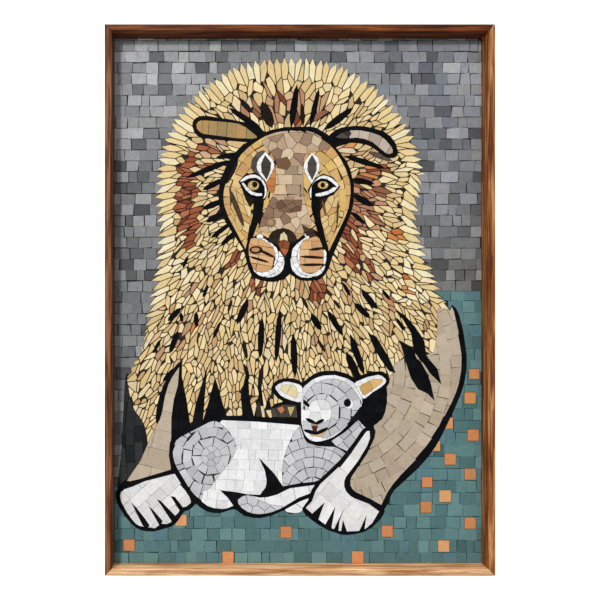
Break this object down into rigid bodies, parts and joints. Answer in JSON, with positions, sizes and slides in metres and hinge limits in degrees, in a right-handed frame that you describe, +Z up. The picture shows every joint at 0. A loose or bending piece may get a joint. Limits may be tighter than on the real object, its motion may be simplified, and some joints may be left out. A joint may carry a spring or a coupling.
{
  "type": "mosaic panel",
  "caption": "Framed stone mosaic panel of a lion lying with a lamb between its paws, in a narrow wooden box frame, to hang on a wall.",
  "frame": {"origin": "middle of the backing board's back face, which lies against the wall", "axes": "+Z up the picture, +X to the viewer's right, the picture faces -Y"},
  "size_m": [0.5, 0.04, 0.706],
  "materials": {
    "adhesive": "dark set tile adhesive",
    "black_stone": "honed black stone, cut in strips",
    "board_ply": "plain unfinished plywood",
    "brown_stone": "honed light brown stone",
    "charcoal_stone": "honed charcoal stone",
    "cream_stone": "honed cream stone, cut in pointed slivers",
    "frame_wood": "oiled mahogany-coloured hardwood, fine straight grain",
    "grey_stone": "honed grey stone, cut in small tiles",
    "khaki_stone": "honed khaki stone",
    "ochre_stone": "honed ochre stone",
    "orange_stone": "honed orange-brown stone",
    "pale_grey_stone": "honed pale grey stone",
    "pink_stone": "honed pinkish grey stone",
    "tan_stone": "honed tan stone",
    "teal_stone": "honed blue-green stone, cut in small tiles",
    "white_stone": "honed white stone"
  },
  "bodies": {
    "root": {"adhesive_bed": "adhesive", "backing_board": "board_ply", "brow_mark_left": "white_stone", "brow_mark_right": "white_stone", "figure_outline": "black_stone", "figure_outline_2": "black_stone", "frame_rail_bottom": "frame_wood", "frame_rail_left": "frame_wood", "frame_rail_right": "frame_wood", "frame_rail_top": "frame_wood", "grey_background": "grey_stone", "head_outline": "black_stone", "lamb_body": "white_stone", "lamb_chest": "pale_grey_stone", "lamb_ear_left": "white_stone", "lamb_ear_left_inner": "cream_stone", "lamb_ear_right": "white_stone", "lamb_ear_right_inner": "ochre_stone", "lamb_face": "pale_grey_stone", "lamb_foot": "white_stone", "lamb_foreleg": "white_stone", "lamb_haunch": "pale_grey_stone", "lamb_head": "white_stone", "lamb_hoof": "pale_grey_stone", "lamb_neck": "pale_grey_stone", "left_shadow": "charcoal_stone", "lion_ear_left": "khaki_stone", "lion_ear_right": "pink_stone", "lion_eye_left": "white_stone", "lion_eye_right": "white_stone", "lion_face": "ochre_stone", "lion_left_leg": "tan_stone", "lion_left_paw": "white_stone", "lion_nose": "black_stone", "lion_nose_bridge": "brown_stone", "lion_right_leg": "tan_stone", "lion_right_paw": "white_stone", "mane": "cream_stone", "mane_gap_lower": "black_stone", "mane_gap_upper": "black_stone", "muzzle_left": "orange_stone", "muzzle_right": "orange_stone", "muzzle_rim_left": "white_stone", "muzzle_rim_right": "white_stone", "teal_ground": "teal_stone"}
  },
  "joints": []
}
